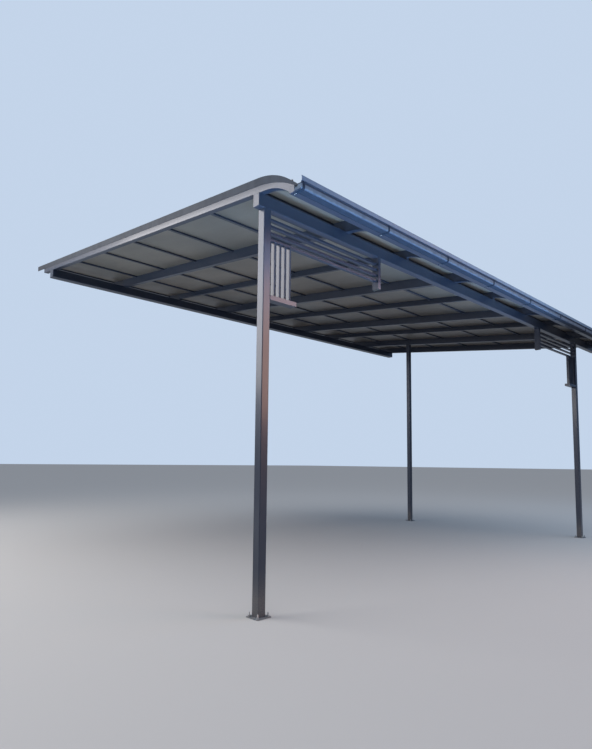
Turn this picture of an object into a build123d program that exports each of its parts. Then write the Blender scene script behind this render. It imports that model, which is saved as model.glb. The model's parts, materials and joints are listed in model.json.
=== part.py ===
from build123d import *
from math import asin, cos, degrees, radians, sin, tan
import os

# A lean-to carport in millimetres. X runs along the eave, Y runs back under the roof and Z is up.
# The origin is the centre of the underside of the front left base plate.

os.makedirs("parts", exist_ok=True)

# Roof grid, from the left post's axis. The end rafter stands further out, flush with the beam's end.
bay_pitch = 1053.0
bay_count = 8
post_bay_count = 7
left_overhang = 100.0

# Posts and base plates
post_side = 80.0
post_corner_radius = 6.0
post_height = 3456.0
plate_side = 150.0
plate_thickness = 8.0
plate_corner_radius = 6.0
anchor_spacing = 110.0
anchor_hole_radius = 7.0
rear_post_y = 3555.0

# Beams
beam_width = 80.0
beam_height = 120.0
beam_corner_radius = 5.0
rear_beam_width = 120.0
rear_beam_height = 120.0
rear_beam_y = 4860.0

# Rafters with their curved noses. A slimmer one stands between each pair of deep ones.
roof_slope = 6.6
rafter_width = 60.0
rafter_depth = 120.0
slim_rafter_width = 40.0
slim_rafter_depth = 80.0
rafter_tail_y = 5190.0
top_bend_y = -20.0
top_bend_radius = 800.0
under_bend_y = -125.0
under_bend_radius = 563.0

# Purlins, laid flat between the rafters with their tops level with the rafter tops
purlin_width = 40.0
purlin_thickness = 20.0
purlin_rows = 6
first_purlin_y = 143.0
purlin_pitch = 842.0
tail_purlin_inset = 30.0

# Roof sheets, joint covers and edge flashings
sheet_thickness = 8.0
sheets = 4
sheet_joint_gap = 6.0
sheet_overhang = 280.0
sheet_drip = 22.0
cover_width = 60.0
cover_thickness = 3.0
flashing_thickness = 3.0
flashing_drop = 70.0
flashing_lip = 55.0

# Eave rail and gutter
rail_side = 60.0
rail_back_y = -420.0
gutter_depth = 76.0
gutter_wall = 2.0
gutter_back_height = 46.0
gutter_step_height = 62.0
gutter_step_out = 8.0
gutter_rim_height = 107.0
gutter_hem = 9.0
gutter_heel_radius = 5.0
gutter_toe_radius = 22.0
gutter_fold_radius = 3.0
gutter_cap_height = 52.0
drip_clearance = 5.0
bracket_width = 25.0
bracket_thickness = 3.0
bracket_lap = 40.0

# Corner ladders between the front posts and the front beam
ladder_bars = 4
bar_thickness = 20.0
bar_depth = 40.0
bar_pitch = 61.0
beam_to_bar_gap = 62.0
ladder_length = 1520.0
end_bar_width = 40.0
end_bar_depth = 80.0
end_bar_overrun = 80.0
post_to_drop_gap = 57.0
drop_bar_length = 495.0
foot_bar_height = 40.0
foot_bar_depth = 80.0
foot_bar_overrun = 54.0

# Places that follow from the sizes above
slope_rise = tan(radians(roof_slope))
beam_bottom = plate_thickness + post_height
beam_top = beam_bottom + beam_height
beam_back_y = beam_width / 2
roof_left = -left_overhang
roof_right = bay_count * bay_pitch + rafter_width / 2
right_post_x = post_bay_count * bay_pitch
sheet_tail_y = rafter_tail_y + sheet_overhang
rafter_rise = rafter_depth / cos(radians(roof_slope))
rear_beam_front_y = rear_beam_y - rear_beam_width / 2
rear_beam_back_y = rear_beam_y + rear_beam_width / 2
rail_front_y = rail_back_y - rail_side


def is_slim(index):
    """Every second rafter between the two end rafters is a slim one."""
    return index % 2 == 0 and 0 < index < bay_count


def width_of(index):
    return slim_rafter_width if is_slim(index) else rafter_width


def rafter_centre(index):
    return roof_left + rafter_width / 2 if index == 0 else index * bay_pitch


def rafter_left(index):
    """X of the left face of a rafter."""
    return rafter_centre(index) - width_of(index) / 2


def rafter_right(index):
    return rafter_centre(index) + width_of(index) / 2


def underside(y):
    """Height of the straight rafter underside, which meets the beam top at the beam's back edge."""
    return beam_top + slope_rise * (y - beam_back_y)


def slope_point(y, rise):
    """Point of the straight roof slope, a distance above the rafter tops measured square to them."""
    return (y, underside(y) + rafter_rise + rise / cos(radians(roof_slope)))


top_bend_start = slope_point(top_bend_y, 0.0)
top_bend_centre_y = top_bend_start[0] + top_bend_radius * sin(radians(roof_slope))
top_bend_centre_z = top_bend_start[1] - top_bend_radius * cos(radians(roof_slope))


def bend_point(angle, rise):
    """Point of the curved nose where the roof falls at an angle, a distance above the rafter tops."""
    radius = top_bend_radius + rise
    y = top_bend_centre_y - radius * sin(radians(angle))
    return (y, top_bend_centre_z + radius * cos(radians(angle)))


def bend_angle(y):
    """Fall of the curved nose where its lower face reaches a given Y."""
    return degrees(asin((top_bend_centre_y - y) / top_bend_radius))


rail_angle = bend_angle(rail_front_y)
sheet_nose_angle = bend_angle(rail_front_y - sheet_drip)
rail_top = bend_point(rail_angle, 0.0)[1]
rail_bottom = rail_top - rail_side
rear_beam_top = underside(rear_beam_back_y)
gutter_front_y = rail_front_y - gutter_depth
last_bar_bottom = beam_bottom - beam_to_bar_gap - (ladder_bars - 1) * bar_pitch - bar_thickness
drop_bar_bottom = last_bar_bottom - drop_bar_length


def side_prism(outline, left, width):
    """Solid from closed lines drawn in the (Y, Z) plane, carried along X."""
    return extrude(Plane.YZ.offset(left) * make_face(outline), width)


def tube(left, right, front, back, bottom, top, radius):
    """Rectangular tube along X with rounded long edges."""
    outline = RectangleRounded(back - front, top - bottom, radius)
    centre = Pos((front + back) / 2, (bottom + top) / 2)
    return extrude(Plane.YZ.offset(left) * centre * outline, right - left)


def box(left, right, front, back, bottom, top):
    corner = Pos(left, front, bottom)
    return corner * Box(right - left, back - front, top - bottom, align=(Align.MIN, Align.MIN, Align.MIN))


def roof_band(low, high, nose_angle, back_y, left, width):
    """Strip that follows the roof's slope and nose between two heights above the rafter tops."""
    angles = (roof_slope, (roof_slope + nose_angle) / 2, nose_angle)
    lower = ThreePointArc(*[bend_point(angle, low) for angle in angles])
    upper = ThreePointArc(*[bend_point(angle, high) for angle in reversed(angles)])
    outline = lower + Line(lower @ 1, upper @ 0) + upper
    outline += Polyline(upper @ 1, slope_point(back_y, high), slope_point(back_y, low), lower @ 0)
    return side_prism(outline, left, width)


def base_plate(x, y):
    """Square foot plate with four anchor holes."""
    plate = extrude(RectangleRounded(plate_side, plate_side, plate_corner_radius), plate_thickness)
    drill = Cylinder(anchor_hole_radius, 3 * plate_thickness)
    holes = GridLocations(anchor_spacing, anchor_spacing, 2, 2) * drill
    return Pos(x, y) * (plate - holes)


def front_post(x):
    foot = Pos(x, 0, plate_thickness)
    return foot * extrude(RectangleRounded(post_side, post_side, post_corner_radius), post_height)


def rear_post(x, y):
    """Post cut to the roof slope, straight under a rafter."""
    foot = Pos(x, y, plate_thickness)
    blank = foot * extrude(RectangleRounded(post_side, post_side, post_corner_radius), underside(y))
    cut = Plane(origin=(x, y, underside(y)), x_dir=(1, 0, 0), z_dir=(0, -slope_rise, 1))
    return split(blank, bisect_by=cut, keep=Keep.BOTTOM)


def fall_arc(centre_y, centre_z, radius):
    """Arc of a nose's underside, from the end of the straight slope to the eave rail's back face."""

    def point(angle):
        return (centre_y - radius * sin(radians(angle)), centre_z + radius * cos(radians(angle)))

    last = degrees(asin((centre_y - rail_back_y) / radius))
    return ThreePointArc(point(roof_slope), point((roof_slope + last) / 2), point(last))


def rafter_profile(under_arc, underside_points):
    """Side view of a rafter, cut to seat on the rail's top and back, from its underside's arc and line."""
    start = bend_point(rail_angle, 0.0)
    middle = bend_point((roof_slope + rail_angle) / 2, 0.0)
    top_arc = ThreePointArc(start, middle, bend_point(roof_slope, 0.0))
    nose = Polyline(under_arc @ 1, (rail_back_y, rail_top), top_arc @ 0)
    back = Polyline(top_arc @ 1, slope_point(rafter_tail_y, 0.0), *underside_points, under_arc @ 0)
    return under_arc + nose + top_arc + back


def deep_rafter(index):
    """Rafter that tapers towards its nose and is notched over both beams."""
    centre_y = under_bend_y + under_bend_radius * sin(radians(roof_slope))
    centre_z = underside(under_bend_y) - under_bend_radius * cos(radians(roof_slope))
    seats = [
        (rafter_tail_y, underside(rafter_tail_y)),
        (rear_beam_back_y, rear_beam_top),
        (rear_beam_front_y, rear_beam_top),
        (rear_beam_front_y, underside(rear_beam_front_y)),
        (beam_back_y, beam_top),
        (-beam_back_y, beam_top),
        (-beam_back_y, underside(-beam_back_y)),
    ]
    outline = rafter_profile(fall_arc(centre_y, centre_z, under_bend_radius), seats)
    return side_prism(outline, rafter_left(index), rafter_width)


def slim_rafter(index):
    """Rafter of one depth from tail to nose, carried clear of the beams on stubs."""
    arc = fall_arc(top_bend_centre_y, top_bend_centre_z, top_bend_radius - slim_rafter_depth)
    tail = slope_point(rafter_tail_y, -slim_rafter_depth)
    return side_prism(rafter_profile(arc, [tail]), rafter_left(index), slim_rafter_width)


def rafter_stubs():
    """Blocks between both beams and the slim rafters, cut to each rafter's underside."""
    stubs = []
    beams = ((-beam_back_y, beam_back_y, beam_top), (rear_beam_front_y, rear_beam_back_y, rear_beam_top))
    for index in filter(is_slim, range(bay_count + 1)):
        for front, back, seat in beams:
            reach = seat + rafter_depth - slim_rafter_depth / 2
            block = box(rafter_left(index), rafter_right(index), front, back, seat, reach)
            stubs.append(block - slim_rafter(index))
    return stubs


def purlin_row(y):
    """One row of purlins, a piece in every bay between the rafter faces."""
    height = slope_point(y, 0.0)[1]
    row = []
    for bay in range(bay_count):
        clear_bay = rafter_left(bay + 1) - rafter_right(bay)
        piece = Box(clear_bay, purlin_width, purlin_thickness, align=(Align.MIN, Align.CENTER, Align.MAX))
        row.append(Pos(rafter_right(bay), y, height) * Rot(roof_slope, 0, 0) * piece)
    return row


def sheet_joint_x(index):
    """X of a joint between sheets, on the rafter nearest an equal share of the bays."""
    return rafter_centre(round(index * bay_count / sheets))


def roof_sheet(index):
    left = roof_left if index == 0 else sheet_joint_x(index) + sheet_joint_gap / 2
    right = roof_right if index == sheets - 1 else sheet_joint_x(index + 1) - sheet_joint_gap / 2
    return roof_band(0.0, sheet_thickness, sheet_nose_angle, sheet_tail_y, left, right - left)


def joint_covers():
    low = sheet_thickness
    high = sheet_thickness + cover_thickness
    lefts = [sheet_joint_x(index) - cover_width / 2 for index in range(1, sheets)]
    return [roof_band(low, high, sheet_nose_angle, sheet_tail_y, left, cover_width) for left in lefts]


def edge_flashing(outer_x, inward):
    """Angle strip that laps the sheet's edge and thins out towards the nose on its outer face."""
    top = sheet_thickness + flashing_thickness
    low = top - flashing_drop
    nose = bend_point(sheet_nose_angle, 0.0)
    heel = bend_point(roof_slope, low)
    lower = TangentArc(heel, nose, tangent=(-cos(radians(roof_slope)), -sin(radians(roof_slope))))
    angles = (sheet_nose_angle, (roof_slope + sheet_nose_angle) / 2, roof_slope)
    upper = ThreePointArc(*[bend_point(angle, top) for angle in angles])
    outline = lower + Line(lower @ 1, upper @ 0) + upper
    outline += Polyline(upper @ 1, slope_point(sheet_tail_y, top), slope_point(sheet_tail_y, low), heel)
    side_left = outer_x - flashing_thickness if inward > 0 else outer_x
    lip_left = outer_x if inward > 0 else outer_x - flashing_lip
    side = side_prism(outline, side_left, flashing_thickness)
    lip = roof_band(sheet_thickness, top, sheet_nose_angle, sheet_tail_y, lip_left, flashing_lip)
    return side + lip


def eave_rail():
    return box(roof_left, roof_right, rail_front_y, rail_back_y, rail_bottom, rail_top)


def gutter():
    """Folded trough on the rail's front face, with a stepped, hemmed front."""
    step_z = rail_bottom + gutter_step_height
    rim_z = rail_bottom + gutter_rim_height
    lip_y = gutter_front_y - gutter_step_out
    path = FilletPolyline(
        (rail_front_y, rail_bottom + gutter_back_height),
        (rail_front_y, rail_bottom),
        (gutter_front_y, rail_bottom),
        (gutter_front_y, step_z),
        (lip_y, step_z),
        (lip_y, rim_z),
        (lip_y + gutter_hem, rim_z),
        radius=[
            gutter_heel_radius,
            gutter_toe_radius,
            gutter_fold_radius,
            gutter_fold_radius,
            gutter_fold_radius,
        ],
    )
    outline = offset(path, gutter_wall, side=Side.RIGHT)
    return side_prism(outline, roof_left, roof_right - roof_left)


def gutter_end_caps():
    """Plates that close both ends of the trough, cut away under the sheet's drip edge."""
    front = gutter_front_y + gutter_wall
    back = rail_front_y - gutter_wall
    bottom = rail_bottom + gutter_wall
    top = rail_bottom + gutter_cap_height
    notch_z = bend_point(sheet_nose_angle, 0.0)[1] - drip_clearance
    notch_y = bend_point(sheet_nose_angle, sheet_thickness + flashing_thickness)[0] - drip_clearance
    corners = [(back, bottom), (back, notch_z), (notch_y, notch_z)]
    corners += [(notch_y, top), (front, top), (front, bottom)]
    plate = make_face(Polyline(*corners, close=True))
    toe = plate.vertices().group_by(Axis.Y)[0].sort_by(Axis.X)[0]
    plate = fillet(toe, gutter_toe_radius - gutter_wall)
    heel = plate.vertices().group_by(Axis.Y)[0].sort_by(Axis.X)[-1]
    plate = fillet(heel, gutter_heel_radius - gutter_wall)
    lefts = (roof_left, roof_right - gutter_wall)
    return [extrude(Plane.YZ.offset(left) * plate, gutter_wall) for left in lefts]


def gutter_brackets():
    """Straps under each rafter nose that cradle the trough from the rail's underside to its step."""
    path = FilletPolyline(
        (rail_front_y + bracket_lap, rail_bottom),
        (gutter_front_y, rail_bottom),
        (gutter_front_y, rail_bottom + gutter_step_height - gutter_fold_radius),
        radius=gutter_toe_radius,
    )
    outline = offset(path, bracket_thickness, side=Side.LEFT)
    lefts = [rafter_centre(index) - bracket_width / 2 for index in range(bay_count + 1)]
    return [side_prism(outline, left, bracket_width) for left in lefts]


def ladder_box(post_x, inward, start, end, depth, bottom, top):
    """Bar of a corner ladder, given by its distances from the post axis towards the roof's middle."""
    near = post_x + inward * start
    far = post_x + inward * end
    return box(min(near, far), max(near, far), -depth / 2, depth / 2, bottom, top)


def ladder_pieces(post_x, inward):
    """Long bars, end bar, drop bars and foot bar of one corner ladder."""
    face = post_side / 2
    end_start = face + ladder_length
    long_bars = []
    drop_bars = []
    for row in range(ladder_bars):
        top = beam_bottom - beam_to_bar_gap - row * bar_pitch
        bar = ladder_box(post_x, inward, face, end_start, bar_depth, top - bar_thickness, top)
        long_bars.append(bar)
        start = face + post_to_drop_gap + row * bar_pitch
        drop = ladder_box(
            post_x, inward, start, start + bar_thickness, bar_depth, drop_bar_bottom, last_bar_bottom
        )
        drop_bars.append(drop)
    end_bottom = last_bar_bottom - end_bar_overrun
    end_bar = ladder_box(
        post_x, inward, end_start, end_start + end_bar_width, end_bar_depth, end_bottom, beam_bottom
    )
    foot_end = face + post_to_drop_gap + (ladder_bars - 1) * bar_pitch + bar_thickness + foot_bar_overrun
    foot_bottom = drop_bar_bottom - foot_bar_height
    foot_bar = ladder_box(post_x, inward, face, foot_end, foot_bar_depth, foot_bottom, drop_bar_bottom)
    return {"long_bars": long_bars, "end_bar": end_bar, "drop_bars": drop_bars, "foot_bar": foot_bar}


def carport():
    """Every piece by name. A list is a set of like pieces that share a name."""
    pieces = {
        "base_plate_front_left": base_plate(0.0, 0.0),
        "base_plate_front_right": base_plate(right_post_x, 0.0),
        "base_plate_back_right": base_plate(right_post_x, rear_post_y),
        "post_front_left": front_post(0.0),
        "post_front_right": front_post(right_post_x),
        "post_back_right": rear_post(right_post_x, rear_post_y),
        "front_beam": tube(
            roof_left, roof_right, -beam_back_y, beam_back_y, beam_bottom, beam_top, beam_corner_radius
        ),
        "rear_beam": tube(
            roof_left,
            roof_right,
            rear_beam_front_y,
            rear_beam_back_y,
            rear_beam_top - rear_beam_height,
            rear_beam_top,
            beam_corner_radius,
        ),
        "rafter_stubs": rafter_stubs(),
        "eave_rail": eave_rail(),
        "sheet_joint_covers": joint_covers(),
        "edge_flashing_left": edge_flashing(roof_left, 1),
        "edge_flashing_right": edge_flashing(roof_right, -1),
        "gutter": gutter(),
        "gutter_end_caps": gutter_end_caps(),
        "gutter_brackets": gutter_brackets(),
    }
    for index in range(bay_count + 1):
        pieces[f"rafter_{index + 1}"] = slim_rafter(index) if is_slim(index) else deep_rafter(index)
    for row in range(purlin_rows):
        pieces[f"purlin_row_{row + 1}"] = purlin_row(first_purlin_y + row * purlin_pitch)
    pieces["tail_purlin_row"] = purlin_row(rafter_tail_y - tail_purlin_inset)
    for index in range(sheets):
        pieces[f"roof_sheet_{index + 1}"] = roof_sheet(index)
    for side, post_x, inward in (("left", 0.0, 1), ("right", right_post_x, -1)):
        for name, piece in ladder_pieces(post_x, inward).items():
            pieces[f"ladder_{side}_{name}"] = piece
    return pieces


for name, piece in carport().items():
    like_pieces = piece if isinstance(piece, list) else [piece]
    solids = [solid for like_piece in like_pieces for solid in like_piece.solids()]
    export_step(Compound(children=solids), f"parts/{name}.step")
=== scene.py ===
"""Finishes and fine pieces of a lean-to steel carport, laid out as an add-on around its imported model."""

import json
import math
import random

import bmesh
import bpy
from bpy.props import FloatProperty, FloatVectorProperty, PointerProperty
from mathutils import Matrix, Vector
from mathutils.bvhtree import BVHTree


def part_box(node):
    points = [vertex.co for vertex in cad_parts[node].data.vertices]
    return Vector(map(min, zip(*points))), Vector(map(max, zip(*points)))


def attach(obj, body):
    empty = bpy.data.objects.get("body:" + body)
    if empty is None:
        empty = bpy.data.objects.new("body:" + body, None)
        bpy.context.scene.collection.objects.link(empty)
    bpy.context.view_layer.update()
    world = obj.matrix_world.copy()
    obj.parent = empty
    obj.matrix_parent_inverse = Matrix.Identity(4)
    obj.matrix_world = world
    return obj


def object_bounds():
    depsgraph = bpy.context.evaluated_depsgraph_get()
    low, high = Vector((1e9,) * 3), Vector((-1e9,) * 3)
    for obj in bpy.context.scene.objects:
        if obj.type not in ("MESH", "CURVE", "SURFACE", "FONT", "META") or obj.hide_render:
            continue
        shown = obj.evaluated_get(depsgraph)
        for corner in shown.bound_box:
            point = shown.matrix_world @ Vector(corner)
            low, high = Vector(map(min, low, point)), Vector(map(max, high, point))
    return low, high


bl_info = {
    "name": "Lean-to carport",
    "version": (1, 0, 0),
    "blender": (4, 5, 0),
    "location": "3D View > Sidebar > Carport",
    "description": "Adds welds, fixings, closing profiles and finishes to a lean-to steel carport",
    "category": "Object",
}

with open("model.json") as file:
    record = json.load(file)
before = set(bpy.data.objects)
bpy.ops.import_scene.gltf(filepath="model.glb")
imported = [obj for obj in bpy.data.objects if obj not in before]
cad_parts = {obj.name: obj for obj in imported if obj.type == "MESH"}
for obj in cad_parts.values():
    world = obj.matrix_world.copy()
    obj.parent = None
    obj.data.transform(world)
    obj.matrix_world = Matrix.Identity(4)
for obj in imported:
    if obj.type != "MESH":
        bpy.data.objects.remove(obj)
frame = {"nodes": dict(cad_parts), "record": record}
CAD_BOX = [list(corner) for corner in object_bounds()]
NODES = frame["nodes"]
POSTS = ("front_left", "front_right", "back_right")

# The photograph's camera, in metres in the frame of the carport
PHOTO_WIDTH = 592
PHOTO_HEIGHT = 749
PHOTO_FOCAL_PIXELS = 540.6
PHOTO_CENTRE = (299.9, 413.8)
CAMERA_PLACE = (-2.943, -3.492, 1.26)
CAMERA_RIGHT = (0.7165, -0.6975, 0.0095)
CAMERA_UP = (-0.0701, -0.0585, 0.9957)
SENSOR = 36.0

# Studio light: name, place, point it faces, width, height, watts, colour and spread of each soft panel
STUDIO_PANELS = (
    ("left_panel", (-7.0, 7.2, 6.2), (0.5, 0.5, 2.8), 9.0, 6.0, 1000.0, (1.0, 0.95, 0.90), 180.0),
    ("sky_panel", (10.0, -7.5, 8.5), (4.0, 0.0, 3.4), 14.0, 6.0, 480.0, (0.40, 0.66, 1.0), 180.0),
    ("front_panel", (7.0, -7.2, 4.4), (0.0, 0.0, 2.6), 4.5, 4.0, 90.0, (1.0, 0.56, 0.36), 90.0),
    ("edge_panel", (-1.4, 1.9, 2.0), (0.3, 1.9, 3.8), 6.0, 0.8, 26.0, (0.52, 0.79, 1.0), 70.0),
    ("nose_panel", (2.2, -1.0, 2.0), (2.2, -0.2, 3.7), 6.0, 0.6, 64.0, (0.40, 0.67, 1.0), 70.0),
)
FLOOR_SIZE = 400.0
OVERHEAD_LIGHT = 1.3
OVERHEAD_COLOUR = (1.0, 0.95, 0.88)
OVERHEAD_TILT = (22.0, -18.0)
OVERHEAD_SOFTNESS = 75.0
ROOM_COLOUR = (0.45, 0.66, 1.0)
ROOM_STRENGTH = 0.27
BACKDROP_COLOUR = (0.55, 0.66, 0.82)

# Linear colours of dirt and wear
FRAME_DUST = (0.30, 0.28, 0.25)
SHEET_DUST = (0.26, 0.24, 0.20)
STEEL_DUST = (0.27, 0.26, 0.23)
RUBBER_DUST = (0.06, 0.058, 0.055)
MUD = (0.24, 0.21, 0.175)
PLATE_GRIME = (0.25, 0.22, 0.18)
PLATE_RUST = (0.17, 0.07, 0.03)
WELD_RUST = (0.13, 0.055, 0.025)
ZINC_BLOOM = (0.5, 0.5, 0.48)

# Distances in metres under which corners are one, edges straight, corners on a tail and faces touching
SAME_POINT = 1e-5
STRAIGHT = 1e-6
TAIL_REACH = 1e-4
TOUCHING = 0.002

# Weld puddles: half length in pitches, crown, lean, growth across, stretch, and smoothing in degrees
PUDDLE_REACH = 0.55
PUDDLE_CROWN = 1.06
PUDDLE_LEAN = 0.12
PUDDLE_GROWTH = (0.86, 1.1)
PUDDLE_STRETCH = 1.35
PUDDLE_SMOOTHING = 60.0

# Anchor studs: rings cut along the thread, and the share of the radius left between two crests
THREAD_RINGS = 18
THREAD_ROOT = 0.86

# Metres that welds keep from corners, the rail's underside and the roof's end faces
SEAM_INSET = 0.006
HEEL_HEIGHT = 0.02
END_FACE = 0.001

# How far the channel stands off the sheets' ends, and how much shorter each length is than its span
WEB_GAP = 0.0002
CHANNEL_GAP = 0.001

# A height above the roof, and the most that roof screws are turned by, in radians
ABOVE_ROOF = 10.0
FULL_TURN = 6.28

# Share of the rail's depth that a gutter bracket covers, and where its screws are in it
BRACKET_REACH = 0.66
BRACKET_SCREWS = (0.3, 0.7)

# How far straps and laps stand proud, and the laps on each edge flashing
STRAP_GROWTH = 0.0008
LAP_GROWTH = 0.0007
LAP_COUNT = 3


def size_of(name, text, value):
    """Length in metres that a user may change."""
    return FloatProperty(name=name, description=text, default=value, min=0.0, unit="LENGTH", precision=4)


def colour_of(name, text, value):
    """Linear colour that a user may change."""
    return FloatVectorProperty(
        name=name, description=text, default=value, min=0.0, max=1.0, size=3, subtype="COLOR"
    )


def share_of(name, text, value):
    """Share from 0 to 1 that a user may change."""
    return FloatProperty(name=name, description=text, default=value, min=0.0, max=1.0, subtype="FACTOR")


class CarportFinishes(bpy.types.PropertyGroup):
    """Colours and gloss of the carport's surfaces."""

    paint: colour_of("Paint", "Graphite paint of the steel frame", (0.028, 0.038, 0.066))
    paint_flake: share_of("Paint flake", "Metallic share of the graphite paint", 0.35)
    paint_roughness: share_of("Paint roughness", "Roughness of the graphite paint", 0.38)
    # Depth of a painted shadow on the rafters' sides just under the sheets
    painted_shadow_depth: size_of("Painted shadow depth", "How far painted shadow reaches down the rafters' sides from the sheets", 0.11)
    plate: colour_of("Foot plates", "Greyer paint of the foot plates", (0.16, 0.18, 0.21))
    sheet: colour_of("Roof sheets", "Smoky roof sheet", (0.148, 0.141, 0.134))
    rib_pitch: size_of("Rib pitch", "Distance between the ribs inside a roof sheet", 0.0105)
    sheet_warm: colour_of("Warmer sheet", "Roof sheet where its tint is browner", (0.182, 0.150, 0.123))
    flashing: colour_of("Flashings", "Coated steel of the edge flashings", (0.020, 0.028, 0.044))
    flashing_gloss: share_of("Flashing gloss", "Gloss of the edge flashings", 0.6)
    gutter_gloss: share_of("Gutter gloss", "Gloss of the gutter", 0.3)
    gutter: colour_of("Gutter", "Coated steel of the gutter", (0.052, 0.075, 0.128))
    # Painted highlight: a paler band painted on the gutter's lower face, under its step
    gutter_highlight: colour_of("Gutter highlight", "Paler band under the gutter's step", (0.10, 0.125, 0.16))
    zinc: colour_of("Fixings", "Zinc-plated bolts and screws", (0.42, 0.43, 0.45))
    rubber: colour_of("Seals", "Rubber of the screw seals", (0.02, 0.02, 0.02))
    floor: colour_of("Floor", "Plain floor under the carport", (0.50, 0.50, 0.50))


class CarportSizes(bpy.types.PropertyGroup):
    """Sizes of the welds, fixings and trims."""

    weld_leg: size_of("Weld leg", "Half width of a weld bead", 0.0036)
    puddle_pitch: size_of("Puddle pitch", "Distance between the ripples of a weld", 0.0042)
    post_corner: size_of("Post corner", "Radius of the posts' upright edges", 0.006)
    purlin_width: size_of("Purlin width", "Width of a purlin along the slope", 0.040)
    purlin_thickness: size_of("Purlin thickness", "Depth of a purlin", 0.020)
    stud_radius: size_of("Stud radius", "Radius of an anchor stud", 0.006)
    stud_length: size_of("Stud length", "Height of an anchor stud above its plate", 0.034)
    nut_across: size_of("Nut across flats", "Width of an anchor nut across its flats", 0.019)
    nut_height: size_of("Nut height", "Height of an anchor nut", 0.010)
    washer_radius: size_of("Washer radius", "Radius of an anchor washer", 0.012)
    washer_thickness: size_of("Washer thickness", "Thickness of an anchor washer", 0.0025)
    cap_thickness: size_of("Cap thickness", "Thickness of an end cap", 0.0022)
    cap_margin: size_of("Cap margin", "Distance from a cap's edge to the tube's edge", 0.002)
    screw_flange: size_of("Screw flange", "Radius of a roof screw's flange", 0.0095)
    screw_head: size_of("Screw head", "Radius of a roof screw's hexagon", 0.0052)
    seal_thickness: size_of("Seal thickness", "Thickness of a roof screw's rubber seal", 0.002)
    screw_pitch: size_of("Screw pitch", "Distance between roof screws along a rafter", 0.42)
    screw_edge: size_of("Screw edge", "Distance from the rafter tails to the last screws", 0.06)
    sheet_thickness: size_of("Sheet thickness", "Thickness of a roof sheet", 0.008)
    flashing_lip: size_of("Flashing lip", "Width of the flashing on top of the sheets", 0.055)
    profile_wall: size_of("Profile wall", "Wall of the channel on the sheets' ends", 0.0012)
    profile_flange: size_of("Profile flange", "Width of that channel's flanges", 0.026)
    strap_width: size_of("Strap width", "Width of the straps round the gutter", 0.022)
    lap_start: size_of("First lap", "Place of the first lap of the edge flashings along Y", 0.72)
    lap_pitch: size_of("Lap pitch", "Distance between laps of the edge flashings", 1.95)
    lap_width: size_of("Lap width", "Length of each lap of the edge flashings", 0.06)


def arithmetic(operation, swapped=False):
    """Method that adds one Math node. Its values are swapped for a reflected form."""

    def method(self, other):
        first, second = (other, self) if swapped else (self, other)
        return self.maths(operation, first, second)

    return method


class Signal:
    """A value that varies over a surface. Arithmetic on it adds the Math nodes that work it out."""

    def __init__(self, finish, socket):
        self.finish = finish
        self.socket = socket

    def maths(self, operation, first, second=0.0, clamp=False):
        settings = {"operation": operation, "use_clamp": clamp}
        return self.finish.add("ShaderNodeMath", settings, {0: first, 1: second})

    __add__ = arithmetic("ADD")
    __radd__ = arithmetic("ADD", swapped=True)
    __sub__ = arithmetic("SUBTRACT")
    __rsub__ = arithmetic("SUBTRACT", swapped=True)
    __mul__ = arithmetic("MULTIPLY")
    __rmul__ = arithmetic("MULTIPLY", swapped=True)
    __truediv__ = arithmetic("DIVIDE")
    __pow__ = arithmetic("POWER")

    def __abs__(self):
        return self.maths("ABSOLUTE", self)

    def wrapped(self):
        """The value's part after the decimal point."""
        return self.maths("FRACT", self)

    def clamped(self):
        return self.maths("ADD", self, 0.0, clamp=True)

    def above(self, edge, softness):
        """0 below an edge and 1 above it, with a soft step between."""
        return ((self - edge) / softness + 0.5).clamped()


class Finish:
    """A material under construction. Its add method makes any node."""

    def __init__(self, name):
        self.material = bpy.data.materials.new(name)
        self.material.use_nodes = True
        self.tree = self.material.node_tree
        self.shader = self.tree.nodes["Principled BSDF"]
        self.place = self.add("ShaderNodeTexCoord", output="Object")
        self.x, self.y, self.z = (
            self.add("ShaderNodeSeparateXYZ", inputs={0: self.place}, output=axis) for axis in "XYZ"
        )

    def add(self, kind, settings=None, inputs=None, output=0):
        """Adds a node, makes its settings, feeds its sockets and returns one output."""
        node = given(self.tree.nodes.new(kind), **(settings or {}))
        for name, value in (inputs or {}).items():
            self.feed(node.inputs[name], value)
        return Signal(self, node.outputs[output])

    def feed(self, socket, value):
        if isinstance(value, Signal):
            self.tree.links.new(value.socket, socket)
        elif socket.type == "RGBA" and len(value) == 3:
            socket.default_value = (*value, 1.0)
        else:
            socket.default_value = value

    def set(self, **sockets):
        """Feeds the shader's own sockets, named with underscores for spaces."""
        for name, value in sockets.items():
            self.feed(self.shader.inputs[name.replace("_", " ")], value)

    def stretched(self, x, y, z):
        """The surface coordinates with each axis scaled."""
        return self.add("ShaderNodeMapping", inputs={"Vector": self.place, "Scale": (x, y, z)})

    def noise(self, scale, detail=3.0, roughness=0.5, place=None):
        inputs = {"Vector": place or self.place, "Scale": scale, "Detail": detail, "Roughness": roughness}
        return self.add("ShaderNodeTexNoise", inputs=inputs)

    def blend(self, factor, first, second, kind="MIX"):
        """Two colours mixed by a factor."""
        settings = {"data_type": "RGBA", "blend_type": kind}
        return self.add("ShaderNodeMix", settings, {0: factor, 6: first, 7: second}, output=2)

    def facing(self, axis):
        """How far the surface faces along an axis, from -1 to 1."""
        normal = self.add("ShaderNodeNewGeometry", output="Normal")
        return self.add("ShaderNodeSeparateXYZ", inputs={0: normal}, output=axis)

    def closed(self, tone, rough, height, depth, strength, **others):
        """Feeds colour, roughness, bumps of a depth in metres and other sockets, and gives the material."""
        bumps = {"Height": height, "Distance": depth, "Strength": strength}
        normal = self.add("ShaderNodeBump", inputs=bumps)
        self.set(Base_Color=tone, Roughness=rough.clamped(), Normal=normal, **others)
        return self.material


def given(thing, **settings):
    """Gives a node, modifier or lamp its settings."""
    for name, value in settings.items():
        setattr(thing, name, value)
    return thing


def shade(colour, factor):
    """A colour made lighter or darker."""
    return tuple(min(1.0, channel * factor) for channel in colour)


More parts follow.
